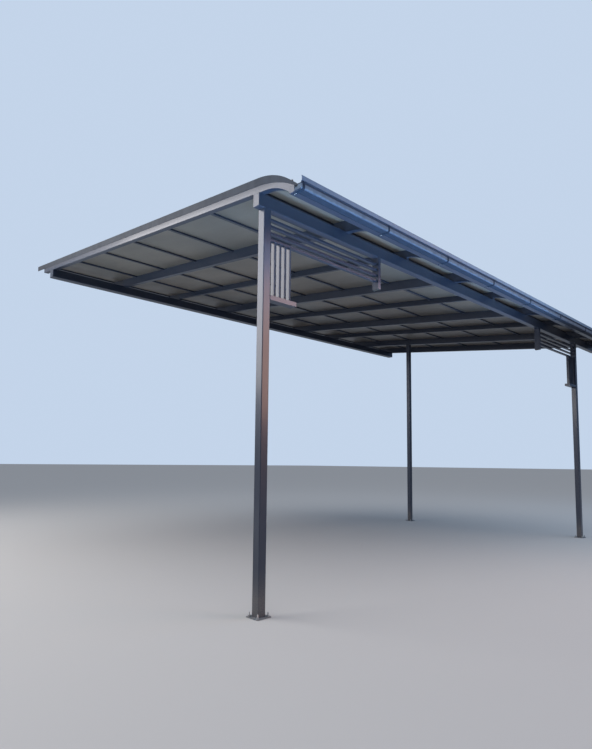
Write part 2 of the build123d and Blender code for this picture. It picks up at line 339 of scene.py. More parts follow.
def painted_front_shade(finish, finishes):
    """Share of painted shade, darker and duller paint, on faces that look out over the eave."""
    return finish.facing("Y").above(-0.5, -0.3) * 0.9


def painted_flashing_shadow(finish, finishes):
    """Share of painted shadow, darker and duller paint, on the upper part of the rafters' sides just under
    the sheets and flashings.
    """
    tail = RAFTERS[0][1]
    depth = tail.z - tail.y * FALL - (finish.z - finish.y * FALL)
    return (1.0 - depth / finishes.painted_shadow_depth).clamped() * 0.8


def frame_paint(name, finishes, painted_shade=None):
    """Sprayed graphite paint with a faint orange peel, dust on top faces and splashes near the ground. A mask
    can add painted shade to it.
    """
    finish = Finish(name)
    peel = finish.noise(900.0, 2.0)
    clouds = finish.noise(2.2, 4.0, 0.6)
    streaks = finish.noise(9.0, 4.0, 0.6, finish.stretched(1.0, 1.0, 0.12))
    dust = finish.facing("Z").above(0.55, 0.3) * (0.35 + clouds * 0.6)
    splash = finish.z.above(0.30, -0.30) ** 2.0 * finish.noise(150.0, 4.0, 0.7).above(0.46, 0.25) * 0.42
    tone = finish.blend(streaks * 0.55, shade(finishes.paint, 0.8), shade(finishes.paint, 1.3))
    tone = finish.blend((dust * 0.5).clamped(), tone, FRAME_DUST)
    tone = finish.blend(splash, tone, MUD)
    gloss = 1.0
    rough = finishes.paint_roughness + clouds * 0.14 - 0.07 + dust * 0.3 + splash * 0.25
    if painted_shade:
        # Painted shade: where the mask is high the paint turns to a darker shade of itself and loses its
        # gloss
        painted_shade_share = painted_shade(finish, finishes)
        gloss = 1.0 - painted_shade_share
        rough = rough + painted_shade_share * 0.4
        tone = finish.blend(painted_shade_share * 0.5, tone, shade(finishes.paint, 0.3))
    return finish.closed(
        tone,
        rough,
        height=peel + clouds * 0.2,
        depth=0.00025,
        strength=0.35,
        Metallic=(finishes.paint_flake * gloss - dust * 0.4 - splash * 0.3).clamped(),
        Coat_Weight=gloss * 0.35,
        Coat_Roughness=0.16,
    )


def plate_paint(finishes):
    """Scuffed grey paint with splashed dirt and a little rust in spots."""
    finish = Finish("foot_plate_paint")
    grime = finish.noise(38.0, 6.0, 0.65)
    scuffs = finish.noise(160.0, 3.0, 0.5, finish.stretched(1.0, 6.0, 1.0)).above(0.62, 0.05)
    rust = finish.noise(75.0, 5.0, 0.7).above(0.63, 0.06)
    tone = finish.blend(grime, shade(finishes.plate, 0.7), shade(finishes.plate, 1.25))
    tone = finish.blend(grime.above(0.55, 0.2) * 0.6, tone, PLATE_GRIME)
    tone = finish.blend(rust * 0.7, tone, PLATE_RUST)
    tone = finish.blend(scuffs * 0.5, tone, shade(finishes.plate, 2.2))
    rough = 0.42 + grime * 0.3 + rust * 0.2
    flake = (0.3 - rust * 0.3).clamped()
    bumps = grime + rust * 0.8 - scuffs * 0.3
    return finish.closed(tone, rough, bumps, depth=0.0006, strength=0.5, Metallic=flake)


def sheet_plastic(finishes):
    """Smoky twin-wall sheet: ribs run down the slope, with a milky haze and settled dust."""
    finish = Finish("smoky_twin_wall")
    ribs = abs((finish.x / finishes.rib_pitch).wrapped() - 0.5) * 2.0
    rib_line = ribs.above(0.86, 0.12)
    haze = finish.noise(0.9, 3.0, 0.55)
    warmth = finish.noise(0.42, 2.0, 0.5).above(0.38, 0.24)
    stains = finish.noise(3.2, 6.0, 0.62, finish.stretched(1.0, 0.35, 1.0))
    specks = finish.noise(70.0, 4.0, 0.6).above(0.68, 0.06)
    topside = finish.facing("Z").above(0.2, 0.3)
    hue = finish.blend(warmth, finishes.sheet, finishes.sheet_warm)
    tone = finish.blend(haze, (0.76, 0.76, 0.76), (1.14, 1.14, 1.14))
    tone = finish.blend(1.0, hue, tone, "MULTIPLY")
    tone = finish.blend(stains.above(0.52, 0.35) * 0.45, tone, shade(finishes.sheet, 0.62))
    tone = finish.blend(rib_line * 0.30, tone, shade(finishes.sheet, 1.7))
    tone = finish.blend(topside * (0.2 + specks * 0.5), tone, SHEET_DUST)
    rough = 0.24 + stains * 0.22 + topside * 0.12
    bumps = ribs + stains * 0.15
    return finish.closed(tone, rough, bumps, depth=0.0005, strength=0.35, Transmission_Weight=0.22, IOR=1.58)


def coated_steel(name, colour, gloss, light_and_shade_bands=(), lip=math.inf):
    """Coated sheet steel with a satin gloss and rain streaks. Height sets its bands of painted light and
    shade and a glossier lip.
    """
    finish = Finish(name)
    streaks = finish.noise(14.0, 5.0, 0.6, finish.stretched(1.0, 1.0, 0.08))
    patches = finish.noise(1.7, 3.0)
    grain = finish.noise(420.0, 2.0)
    tone = finish.blend(patches, shade(colour, 0.85), shade(colour, 1.2))
    # Bands of painted light and shade, each a colour laid over a range of heights
    for low, high, painted_tone in light_and_shade_bands:
        band = finish.z.above(low, 0.005) * finish.z.above(high, -0.004)
        tone = finish.blend(band * 0.8, tone, painted_tone)
    tone = finish.blend(streaks.above(0.56, 0.2) * 0.35, tone, shade(colour, 0.55))
    tone = finish.blend(finish.facing("Z").above(0.6, 0.3) * 0.3, tone, STEEL_DUST)
    if lip < math.inf:
        finish.set(Coat_Weight=finish.z.above(lip, 0.004))
    return finish.closed(
        tone,
        rough=0.66 - 0.3 * gloss + streaks * 0.16 + patches * 0.06,
        height=grain * 0.4 + patches * 0.6,
        depth=0.0006,
        strength=0.3,
        Metallic=0.25 * gloss,
        Specular_IOR_Level=0.5 * gloss,
        Coat_Roughness=0.3,
    )


def zinc_plate(finishes):
    """Zinc-plated steel with dull spangles and white bloom."""
    finish = Finish("zinc_plate")
    spangle = finish.add("ShaderNodeTexVoronoi", inputs={"Vector": finish.place, "Scale": 900.0})
    bloom = finish.noise(120.0, 4.0).above(0.58, 0.2)
    tone = finish.blend(spangle, shade(finishes.zinc, 0.7), shade(finishes.zinc, 1.15))
    tone = finish.blend(bloom * 0.4, tone, ZINC_BLOOM)
    return finish.closed(tone, 0.32 + bloom * 0.35, spangle, depth=0.0001, strength=0.3, Metallic=0.9)


def seal_rubber(finishes):
    """Black rubber with dust in its pores."""
    finish = Finish("seal_rubber")
    pores = finish.noise(700.0, 3.0)
    tone = finish.blend(pores, finishes.rubber, RUBBER_DUST)
    return finish.closed(tone, 0.6 + pores * 0.25, pores, depth=0.0002, strength=0.4)


def weld_paint(finishes):
    """The frame's paint over welds, a little darker and glossier, with rust bleeding through."""
    finish = Finish("painted_weld")
    runs = finish.noise(60.0, 4.0)
    rust = finish.noise(34.0, 5.0, 0.7).above(0.66, 0.07)
    tone = finish.blend(runs, shade(finishes.paint, 0.6), shade(finishes.paint, 1.2))
    tone = finish.blend(rust * 0.5, tone, WELD_RUST)
    flake = (finishes.paint_flake - rust * 0.3).clamped()
    return finish.closed(tone, 0.34 + rust * 0.35, runs, depth=0.0004, strength=0.4, Metallic=flake)


def floor_finish(finishes):
    """Plain pale studio floor."""
    finish = Finish("studio_floor")
    tone = finish.blend(finish.noise(1.3, 2.0), shade(finishes.floor, 0.985), finishes.floor)
    finish.set(Base_Color=tone, Roughness=0.9)
    return finish.material


# Finish of each piece of the frame, by the first part that its name holds
NODE_FINISHES = (
    ("base_plate", "foot_plate_paint"),
    ("drop_bars", "drop_bar_painted_shade"),
    ("rafter_", "rafter_painted_shadow"),
    ("roof_sheet", "smoky_twin_wall"),
    ("edge_flashing", "flashing_coating"),
    ("sheet_joint_covers", "flashing_coating"),
    ("gutter_brackets", "bracket_coating"),
    ("gutter", "gutter_coating"),
    ("", "graphite_paint"),
)


class CARPORT_OT_finishes(bpy.types.Operator):
    """Make every finish and give each piece of the frame its own"""

    bl_idname = "carport.finishes"
    bl_label = "Finishes"

    def execute(self, context):
        finishes = context.scene.carport_finishes
        frame_paint("graphite_paint", finishes)
        # Drop bars with painted shade on their front faces
        frame_paint("drop_bar_painted_shade", finishes, painted_front_shade)
        # Rafters with a painted shadow on the upper part of their sides
        frame_paint("rafter_painted_shadow", finishes, painted_flashing_shadow)
        for make in (plate_paint, sheet_plastic, zinc_plate, seal_rubber, weld_paint):
            make(finishes)
        rail_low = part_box("eave_rail")[0].z
        coated_steel("flashing_coating", finishes.flashing, finishes.flashing_gloss)
        # Painted light and shade on the gutter: a painted highlight on its lower face, a painted shadow just
        # under its step and painted shade on its underside
        light_and_shade_bands = (
            (rail_low + 0.008, rail_low + 0.046, finishes.gutter_highlight),
            (rail_low + 0.044, rail_low + 0.066, shade(finishes.gutter, 0.2)),
            (-1.0, rail_low + 0.004, shade(finishes.gutter, 0.1)),
        )
        coated_steel("gutter_coating", finishes.gutter, finishes.gutter_gloss, light_and_shade_bands, rail_low + 0.068)
        coated_steel("bracket_coating", shade(finishes.gutter, 0.3), 0.1)
        for name, piece in NODES.items():
            coated(piece, next(finish for part, finish in NODE_FINISHES if part in name))
        return {"FINISHED"}


def select_only(*pieces):
    bpy.ops.object.select_all(action="DESELECT")
    for piece in pieces:
        piece.select_set(True)
    bpy.context.view_layer.objects.active = pieces[0]


def settled(piece, place, turn, scale=(1.0, 1.0, 1.0)):
    """Puts a piece's size, turn and place into its mesh."""
    piece.location, piece.rotation_euler, piece.scale = place, turn, scale
    select_only(piece)
    bpy.ops.object.transform_apply(location=True, rotation=True, scale=True)
    return piece


def start(kind, name, place=(0.0, 0.0, 0.0), scale=(1.0, 1.0, 1.0), turn=(0.0, 0.0, 0.0), **sizes):
    """Adds a primitive at its size and place, with both in its mesh."""
    bpy.ops.object.select_all(action="DESELECT")
    getattr(bpy.ops.mesh, f"primitive_{kind}_add")(**sizes)
    bpy.context.object.name = name
    return settled(bpy.context.object, place, turn, scale)


class Shaping:
    """Edit mode on one piece for as long as the block lasts."""

    def __init__(self, piece):
        self.piece = piece

    def __enter__(self):
        select_only(self.piece)
        bpy.ops.object.mode_set(mode="EDIT")
        return self

    def __exit__(self, *problem):
        bpy.ops.object.mode_set(mode="OBJECT")

    def pick(self, kind, test):
        """Selects only the faces, edges or vertices that pass a test."""
        bpy.ops.mesh.select_mode(type=kind)
        bpy.ops.mesh.select_all(action="DESELECT")
        mesh = bmesh.from_edit_mesh(self.piece.data)
        for item in {"FACE": mesh.faces, "EDGE": mesh.edges, "VERT": mesh.verts}[kind]:
            if test(item):
                item.select_set(True)
        mesh.select_flush_mode()
        bmesh.update_edit_mesh(self.piece.data)

    def inset(self, test, width, rise):
        """Draws the faces that pass a test in by a width and lifts them."""
        self.pick("FACE", test)
        bpy.ops.mesh.inset(thickness=width, depth=rise)


def faces_along(axis, sign):
    """Test for faces that look along an axis, by its number and direction."""
    return lambda face: face.normal[axis] * sign > 0.9


def edges_along(axis):
    """Test for straight edges that run along an axis."""
    others = [other for other in range(3) if other != axis]

    def test(edge):
        span = edge.verts[0].co - edge.verts[1].co
        return all(abs(span[other]) < STRAIGHT for other in others)

    return test


def joined(name, *pieces):
    select_only(*pieces)
    bpy.ops.object.join()
    pieces[0].name = name
    return pieces[0]


def smooth(piece, angle=35.0):
    select_only(piece)
    bpy.ops.object.shade_smooth_by_angle(angle=math.radians(angle))


def finished(piece, kind, **settings):
    """Adds a modifier with its settings and applies it."""
    modifier = given(piece.modifiers.new("step", kind), **settings)
    select_only(piece)
    bpy.ops.object.modifier_apply(modifier=modifier.name)


def coated(piece, finish):
    """Gives a piece one material in place of any other."""
    piece.data.materials.clear()
    piece.data.materials.append(bpy.data.materials[finish])
    return piece


def dressed(piece, finish=None):
    """Gives a finished piece its body, and its material when it is given one."""
    if finish:
        coated(piece, finish)
    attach(piece, "root")
    return piece


def linked(name, data):
    """A new object in the scene."""
    thing = bpy.data.objects.new(name, data)
    bpy.context.collection.objects.link(thing)
    return thing


def disc(name, base, height, radius, corners, rim=None, ends=(1,)):
    """Upright prism that stands on a level. A rim is the width and rise of the inset on its ends."""
    centre = (0.0, 0.0, base + height / 2)
    piece = start("cylinder", name, centre, vertices=corners, radius=radius, depth=height)
    if rim:
        with Shaping(piece) as shaping:
            for end in ends:
                shaping.inset(faces_along(2, end), *rim)
    return piece


def repeated(name, master, turns):
    """One piece with a copy of a master at every turn, which takes the master's place."""
    mesh = bmesh.new()
    for turn in turns:
        copy = master.data.copy()
        copy.transform(turn)
        mesh.from_mesh(copy)
        bpy.data.meshes.remove(copy)
    data = bpy.data.meshes.new(name)
    mesh.to_mesh(data)
    mesh.free()
    for material in master.data.materials:
        data.materials.append(material)
    bpy.data.objects.remove(master)
    return linked(name, data)


def vector_of(values):
    """Vector from its values by axis number, with zero for the rest."""
    return Vector([values.get(axis, 0.0) for axis in range(3)])


def turned_to(place, along, outward):
    """Turn that puts a master at a place, its X along one direction and its Z along another."""
    x = Vector(along).normalized()
    z = (Vector(outward) - x * x.dot(Vector(outward))).normalized()
    turn = Matrix((x, z.cross(x), z)).transposed()
    return Matrix.Translation(place) @ turn.to_4x4()


def solids_of(node):
    """Lowest and highest corners of each solid in a node, in order along X, then Y, then Z."""
    mesh = bmesh.new()
    mesh.from_mesh(NODES[node].data)
    bmesh.ops.remove_doubles(mesh, verts=mesh.verts, dist=SAME_POINT)
    left = set(mesh.verts)
    boxes = []
    while left:
        island = [left.pop()]
        for corner in island:
            for edge in corner.link_edges:
                neighbour = edge.other_vert(corner)
                if neighbour in left:
                    left.remove(neighbour)
                    island.append(neighbour)
        reach = [[corner.co[axis] for corner in island] for axis in range(3)]
        boxes.append((Vector([min(one) for one in reach]), Vector([max(one) for one in reach])))
    mesh.free()
    return sorted(boxes, key=lambda corners: tuple(round(value, 3) for value in corners[0]))


def middle_of(box):
    return (box[0] + box[1]) / 2


def sides_of(box):
    """The two faces of a box across X, each with the direction that it looks."""
    return (box[0].x, -1.0), (box[1].x, 1.0)


def slope_direction():
    """Direction up the roof slope, from two rows of purlins."""
    near, far = (middle_of(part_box(f"purlin_row_{row}")) for row in (2, 6))
    return Vector((0.0, far.y - near.y, far.z - near.z)).normalized()


SLOPE = slope_direction()
SLOPE_UP = Vector((0.0, -SLOPE.z, SLOPE.y))
FALL = SLOPE.z / SLOPE.y
RAFTERS = [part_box(f"rafter_{number}") for number in range(1, 10)]


def names_of(*starts):
    """Names of the frame's pieces that start with any of these words."""
    return [name for name in NODES if name.startswith(starts)]


def roof_surfaces():
    """Search trees of the sheets, joint covers and edge flashings."""
    names = names_of("roof_sheet", "edge_flashing", "sheet_joint")
    depsgraph = bpy.context.evaluated_depsgraph_get()
    return [BVHTree.FromObject(NODES[name], depsgraph) for name in names]


def roof_at(surfaces, x, y):
    """Highest point of the roof over (x, y), and the way that it faces."""
    above, down = Vector((x, y, ABOVE_ROOF)), Vector((0.0, 0.0, -1.0))
    hits = [hit for hit in (surface.ray_cast(above, down) for surface in surfaces) if hit[0] is not None]
    if not hits:
        raise RuntimeError(f"The roof has no sheet over {x:.2f}, {y:.2f}")
    return max(hits, key=lambda hit: hit[0].z)[:2]


def bead(name, seams, sizes):
    """Weld of overlapping round puddles along each seam: its two ends and the way it faces."""
    leg = sizes.weld_leg
    scale = (PUDDLE_REACH * sizes.puddle_pitch / leg, 1.0, 1.0)
    turn = (0.0, math.radians(90.0), 0.0)
    puddle = start("uv_sphere", "puddle", scale=scale, turn=turn, segments=8, ring_count=4, radius=leg)
    with Shaping(puddle) as shaping:
        shaping.pick("VERT", lambda corner: abs(corner.co.x) < STRAIGHT)
        bpy.ops.transform.resize(value=(1.0, PUDDLE_CROWN, PUDDLE_CROWN))
    smooth(puddle, PUDDLE_SMOOTHING)
    shake = random.Random(name)
    turns = []
    for first, last, outward in seams:
        along = last - first
        count = max(2, round(along.length / sizes.puddle_pitch))
        for step in range(count):
            place = first + along * ((step + 0.5) / count)
            lean = along.normalized() + Vector([shake.uniform(-PUDDLE_LEAN, PUDDLE_LEAN) for _ in range(3)])
            across, up = (shake.uniform(*PUDDLE_GROWTH) for _ in range(2))
            grown = Matrix.Diagonal((PUDDLE_STRETCH, across, up, 1.0))
            turns.append(turned_to(place, lean, outward) @ grown)
    return dressed(repeated(name, puddle, turns), "painted_weld")


def side_seams(box, *lines):
    """Seams on both side faces of a box. A line is two (y, z) places and the way it faces in (y, z)."""
    return [
        (Vector((x, *first)), Vector((x, *last)), Vector((side, *facing)))
        for x, side in sides_of(box)
        for first, last, facing in lines
    ]


def ring_of_seams(box, level, facing, inset=0.0):
    """Seams round a box's four upright faces at one level, each facing out and up or down."""
    low, high = box
    corners = [Vector((x, y, level)) for x, y in (low.xy, (high.x, low.y), high.xy, (low.x, high.y))]
    seams = []
    for first, last in zip(corners, corners[1:] + corners[:1]):
        along = (last - first).normalized()
        outward = Vector((along.y, -along.x, facing))
        seams.append((first + along * inset, last - along * inset, outward))
    return seams


def anchor_bolt(sizes):
    """Threaded stud with a washer and a chamfered nut, standing on level zero."""
    washer = disc("washer", 0.0, sizes.washer_thickness, sizes.washer_radius, 20, (0.0006, 0.0003))
    nut_radius = sizes.nut_across / math.sqrt(3.0)
    nut = disc("nut", sizes.washer_thickness, sizes.nut_height, nut_radius, 6, (0.0014, 0.0007), (1, -1))
    stud = disc("stud", 0.0, sizes.stud_length, sizes.stud_radius, 12)
    with Shaping(stud) as shaping:
        shaping.pick("EDGE", edges_along(2))
        bpy.ops.mesh.subdivide(number_cuts=THREAD_RINGS)
        pitch = sizes.stud_length / (THREAD_RINGS + 1)
        shaping.pick("VERT", lambda corner: round(corner.co.z / pitch) % 2 == 1)
        bpy.ops.transform.resize(value=(THREAD_ROOT, THREAD_ROOT, 1.0))
        shaping.inset(faces_along(2, 1), width=0.0012, rise=0.0008)
    bolt = joined("anchor_bolt", washer, nut, stud)
    smooth(bolt)
    return coated(bolt, "zinc_plate")


class CARPORT_OT_anchor_bolts(bpy.types.Operator):
    """Stand four anchor bolts in the holes of each foot plate"""

    bl_idname = "carport.anchor_bolts"
    bl_label = "Anchor bolts"

    def execute(self, context):
        sizes = context.scene.carport_sizes
        patterns = {mount["name"]: mount for mount in frame["record"]["mounts"]}
        first_turn, turn_step = 9.0, 17.0
        for place in POSTS:
            mount = patterns[f"{place}_anchors"]
            spacing = mount["dims"]["spacing_x_mm"] / 1000.0
            middle = Vector(mount["pos_m"])
            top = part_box(f"base_plate_{place}")[1].z
            turns = []
            for number in range(4):
                side = Vector((number % 2 - 0.5, number // 2 - 0.5, 0.0)) * spacing
                spot = Matrix.Translation((middle.x + side.x, middle.y + side.y, top))
                angle = math.radians(first_turn + turn_step * number)
                turns.append(spot @ Matrix.Rotation(angle, 4, "Z"))
            dressed(repeated(f"anchor_bolts_{place}", anchor_bolt(sizes), turns))
        return {"FINISHED"}


class CARPORT_OT_post_welds(bpy.types.Operator):
    """Weld the posts to their plates and to what they carry"""

    bl_idname = "carport.post_welds"
    bl_label = "Post welds"

    def execute(self, context):
        sizes = context.scene.carport_sizes
        for place in POSTS:
            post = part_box(f"post_{place}")
            plate_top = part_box(f"base_plate_{place}")[1].z
            seams = ring_of_seams(post, plate_top, 1.0, sizes.post_corner * 0.5)
            bead(f"foot_weld_{place}", seams, sizes)
        corner = sizes.post_corner
        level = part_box("front_beam")[0].z
        seams = []
        for place in POSTS[:2]:
            low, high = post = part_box(f"post_{place}")
            seams += side_seams(post, ((low.y + corner, level), (high.y - corner, level), (0.0, -1.0)))
        low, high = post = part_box("post_back_right")
        first = (low.y + corner, high.z - FALL * (high.y - low.y - corner))
        last = (high.y - corner, high.z - FALL * corner)
        seams += side_seams(post, (first, last, (0.0, -1.0)))
        bead("post_top_welds", seams, sizes)
        return {"FINISHED"}


def rafter_seams():
    """Seams where rafters, their stubs and the eave rail meet, on both sides of each rafter."""
    rail_low, rail_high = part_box("eave_rail")
    heel = (rail_high.y, rail_low.z + HEEL_HEIGHT)
    throat = (rail_high.y, rail_high.z)
    crown = (rail_low.y + SEAM_INSET, rail_high.z)
    lines = [
        ((low.y + SEAM_INSET, high.z), (high.y - SEAM_INSET, high.z), (0.0, 1.0))
        for low, high in (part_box("front_beam"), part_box("rear_beam"))
    ]
    lines += [(heel, throat, (1.0, 0.0)), (throat, crown, (0.0, 1.0))]
    seams = [seam for rafter in RAFTERS for seam in side_seams(rafter, *lines)]
    for low, high in solids_of("rafter_stubs"):
        run = SLOPE * ((high.y - low.y) / SLOPE.y)
        first = (high.y - run.y, high.z - run.z)
        seams += side_seams((low, high), (first, (high.y, high.z), (0.0, -1.0)))
    left, right = RAFTERS[0][0].x + END_FACE, RAFTERS[-1][1].x - END_FACE
    return [seam for seam in seams if left < seam[0].x < right]


class CARPORT_OT_rafter_welds(bpy.types.Operator):
    """Weld the rafters to both beams, their stubs and the eave rail"""

    bl_idname = "carport.rafter_welds"
    bl_label = "Rafter welds"

    def execute(self, context):
        bead("rafter_welds", rafter_seams(), context.scene.carport_sizes)
        return {"FINISHED"}


class CARPORT_OT_purlin_welds(bpy.types.Operator):
    """Weld both ends of every purlin to its rafters"""

    bl_idname = "carport.purlin_welds"
    bl_label = "Purlin welds"

    def execute(self, context):
        sizes = context.scene.carport_sizes
        rows = names_of("purlin_row") + ["tail_purlin_row"]
        for number, half in enumerate((rows[0::2], rows[1::2]), start=1):
            boxes = [box for row in half for box in solids_of(row)]
            seams = [seam for box in boxes for seam in self.end_seams(box, sizes)]
            bead(f"purlin_welds_{number}", seams, sizes)
        return {"FINISHED"}

    @staticmethod
    def end_seams(box, sizes):
        """Seams along the lower and side edges of a purlin's two ends."""
        span = SLOPE * (sizes.purlin_width / 2)
        drop = SLOPE_UP * (sizes.purlin_thickness / 2)
        seams = []
        for x, side in sides_of(box):
            centre = Vector((x, *middle_of(box).yz))
            inward = Vector((-side, 0.0, 0.0))
            seams.append((centre - span - drop, centre + span - drop, inward - SLOPE_UP))
            for edge, way in ((-span, -1.0), (span, 1.0)):
                seams.append((centre + edge - drop, centre + edge + drop * 0.6, inward + SLOPE * way))
        return seams


class CARPORT_OT_ladder_welds(bpy.types.Operator):
    """Weld the bars of both corner ladders"""

    bl_idname = "carport.ladder_welds"
    bl_label = "Ladder welds"

    def execute(self, context):
        sizes = context.scene.carport_sizes
        for side in ("left", "right"):
            seams = []
            for bars, axis in (("long", 0), ("drop", 2)):
                for box in solids_of(f"ladder_{side}_{bars}_bars"):
                    seams += self.around(box, axis)
            end_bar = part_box(f"ladder_{side}_end_bar")
            beam_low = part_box("front_beam")[0].z
            seams += [seam for seam in ring_of_seams(end_bar, beam_low, -1.0) if abs(seam[2].x) > 0.5]
            foot_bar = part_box(f"ladder_{side}_foot_bar")
            seams += [seam for seam in self.around(foot_bar, 0) if self.on_post(seam)]
            bead(f"ladder_welds_{side}", seams, sizes)
        return {"FINISHED"}

    @staticmethod
    def on_post(seam):
        """Whether a seam lies on the face of a front post."""
        faces = [corner.x for place in POSTS[:2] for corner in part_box(f"post_{place}")]
        return min(abs(seam[0].x - face) for face in faces) < TOUCHING

    @staticmethod
    def around(box, axis):
        """Seams round both ends of a straight bar that runs along an axis."""
        low, high = box
        across, up = [other for other in range(3) if other != axis]
        seams = []
        for end, way in ((low[axis], 1.0), (high[axis], -1.0)):
            for fixed, moving in ((across, up), (up, across)):
                for level, side in ((low[fixed], -1.0), (high[fixed], 1.0)):
                    ends = [vector_of({axis: end, fixed: level, moving: one[moving]}) for one in box]
                    seams.append((*ends, vector_of({axis: way, fixed: side})))
        return seams


def end_cap(name, box, way, sizes, axis=0, finish="graphite_paint"):
    """Closing plate with rounded corners and a pressed-in middle, on one end of a tube's box."""
    thickness = sizes.cap_thickness
    place = middle_of(box)
    place[axis] = box[way > 0][axis] + way * thickness / 2
    scale = [box[1][other] - box[0][other] - 2 * sizes.cap_margin for other in range(3)]
    scale[axis] = thickness
    cap = start("cube", name, place, scale, size=1.0)
    with Shaping(cap) as shaping:
        shaping.inset(faces_along(axis, way), width=0.0065, rise=0.0)
        bpy.ops.mesh.inset(thickness=0.0012, depth=-thickness * 0.4)
        shaping.pick("EDGE", edges_along(axis))
        bpy.ops.mesh.bevel(offset=0.005, segments=3, affect="EDGES")
    smooth(cap)
    return dressed(cap, finish)


class CARPORT_OT_end_caps(bpy.types.Operator):
    """Close the ends of the beams, the eave rail, the rafter tails and the ladders' open bars"""

    bl_idname = "carport.end_caps"
    bl_label = "End caps"

    def execute(self, context):
        sizes = context.scene.carport_sizes
        for node in ("front_beam", "rear_beam", "eave_rail"):
            for side, way in (("left", -1), ("right", 1)):
                end_cap(f"{node}_cap_{side}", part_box(node), way, sizes)
        for number, (low, high) in enumerate(RAFTERS, start=1):
            depth = self.tail_depth(f"rafter_{number}")
            tail = (Vector((low.x, low.y, high.z - depth)), high)
            end_cap(f"rafter_tail_cap_{number}", tail, 1, sizes, axis=1)
        for side in ("left", "right"):
            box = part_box(f"ladder_{side}_end_bar")
            end_cap(f"end_bar_plug_{side}", box, -1, sizes, axis=2, finish="seal_rubber")
        return {"FINISHED"}

    @staticmethod
    def tail_depth(node):
        """Height of a rafter's cut tail."""
        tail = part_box(node)[1].y
        levels = [corner.co.z for corner in NODES[node].data.vertices if abs(corner.co.y - tail) < TAIL_REACH]
        return max(levels) - min(levels)


def roof_screw(sizes):
    """Hexagon screw with a pressed flange over a rubber seal, standing on level zero."""
    flange = sizes.screw_flange
    seal = coated(disc("seal", 0.0, sizes.seal_thickness, flange * 0.94, 12), "seal_rubber")
    head = disc("head", sizes.seal_thickness, 0.0014, flange, 12, (flange * 0.35, 0.0012))
    hexagon_base = sizes.seal_thickness + 0.002
    hexagon = disc("hexagon", hexagon_base, 0.005, sizes.screw_head, 6, (0.001, 0.0005))
    screw = joined("roof_screw", coated(head, "zinc_plate"), coated(hexagon, "zinc_plate"), seal)
    smooth(screw, 30.0)
    return screw


class CARPORT_OT_roof_screws(bpy.types.Operator):
    """Screw the sheets, joint covers and edge flashings down along the rafters and purlins"""

    bl_idname = "carport.roof_screws"
    bl_label = "Roof screws"

    def execute(self, context):
        sizes = context.scene.carport_sizes
        surfaces = roof_surfaces()
        start_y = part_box("eave_rail")[1].y
        end_y = RAFTERS[0][1].y - sizes.screw_edge
        steps = round((end_y - start_y) / sizes.screw_pitch)
        spots = []
        for low, high in RAFTERS:
            for step in range(steps + 1):
                spots.append(((low.x + high.x) / 2, start_y + (end_y - start_y) * step / steps))
        for row in names_of("purlin_row"):
            for box in solids_of(row):
                for share in (1.0 / 3.0, 2.0 / 3.0):
                    spots.append((box[0].x + (box[1].x - box[0].x) * share, middle_of(box).y))
        shake = random.Random(5)
        turns = []
        for x, y in spots:
            point, normal = roof_at(surfaces, x, y)
            across, along = (shake.uniform(0.0, FULL_TURN) for _ in range(2))
            way = Vector((math.cos(across), math.sin(along), 0.1))
            turns.append(turned_to(point, normal.cross(way), normal))
        dressed(repeated("roof_screws", roof_screw(sizes), turns))
        return {"FINISHED"}


class CARPORT_OT_tail_profiles(bpy.types.Operator):
    """Close the open flutes of the sheets with a channel along the roof's back edge"""

    bl_idname = "carport.tail_profiles"
    bl_label = "Tail profiles"

    def execute(self, context):
        sizes = context.scene.carport_sizes
        lip = sizes.flashing_lip
        edges = [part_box("roof_sheet_1")[0].x + lip]
        for low, high in solids_of("sheet_joint_covers"):
            edges += [low.x, high.x]
        edges.append(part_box("roof_sheet_4")[1].x - lip)
        channels = [self.channel(*span, sizes) for span in zip(edges[0::2], edges[1::2])]
        dressed(joined("sheet_tail_profiles", *channels), "flashing_coating")
        return {"FINISHED"}

    @staticmethod
    def channel(left, right, sizes):
        """Channel with thin walls, its web on the sheet's end and its flanges above and below."""
        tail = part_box("roof_sheet_2")[1]
        wall = sizes.profile_wall
        flange = sizes.profile_flange
        centre = Vector((0.0, tail.y, tail.z)) - SLOPE_UP * (sizes.sheet_thickness / 2)
        place = (0.0, WEB_GAP - flange / 2, 0.0)
        scale = (right - left - CHANNEL_GAP, flange, sizes.sheet_thickness + 2 * wall)
        piece = start("cube", "channel", place, scale, size=1.0)
        with Shaping(piece) as shaping:
            for axis, way in ((1, -1), (0, 1), (0, -1)):
                shaping.pick("FACE", faces_along(axis, way))
                bpy.ops.mesh.delete(type="ONLY_FACE")
        finished(piece, "SOLIDIFY", thickness=wall, offset=-1.0)
        with Shaping(piece) as shaping:
            shaping.pick("EDGE", edges_along(0))
            bpy.ops.mesh.bevel(offset=wall * 0.3, segments=1, affect="EDGES")
        return settled(piece, ((left + right) / 2, *centre.yz), (math.atan2(SLOPE.z, SLOPE.y), 0.0, 0.0))


def fattened_slice(node, name, centre, direction, width, growth):
    """Stretch of a node between two parallel cuts, grown a little all over, as a sleeve or strap."""
    piece = linked(name, NODES[node].data.copy())
    with Shaping(piece):
        for way in (1.0, -1.0):
            outward = Vector(direction).normalized() * way
            bpy.ops.mesh.select_all(action="SELECT")
            bpy.ops.mesh.remove_doubles(threshold=SAME_POINT)
            cut = Vector(centre) + outward * width / 2
            bpy.ops.mesh.bisect(plane_co=cut, plane_no=outward, use_fill=True, clear_outer=True)
        bpy.ops.mesh.select_all(action="SELECT")
        bpy.ops.mesh.normals_make_consistent(inside=False)
    finished(piece, "DISPLACE", strength=growth, mid_level=0.0)
    return piece


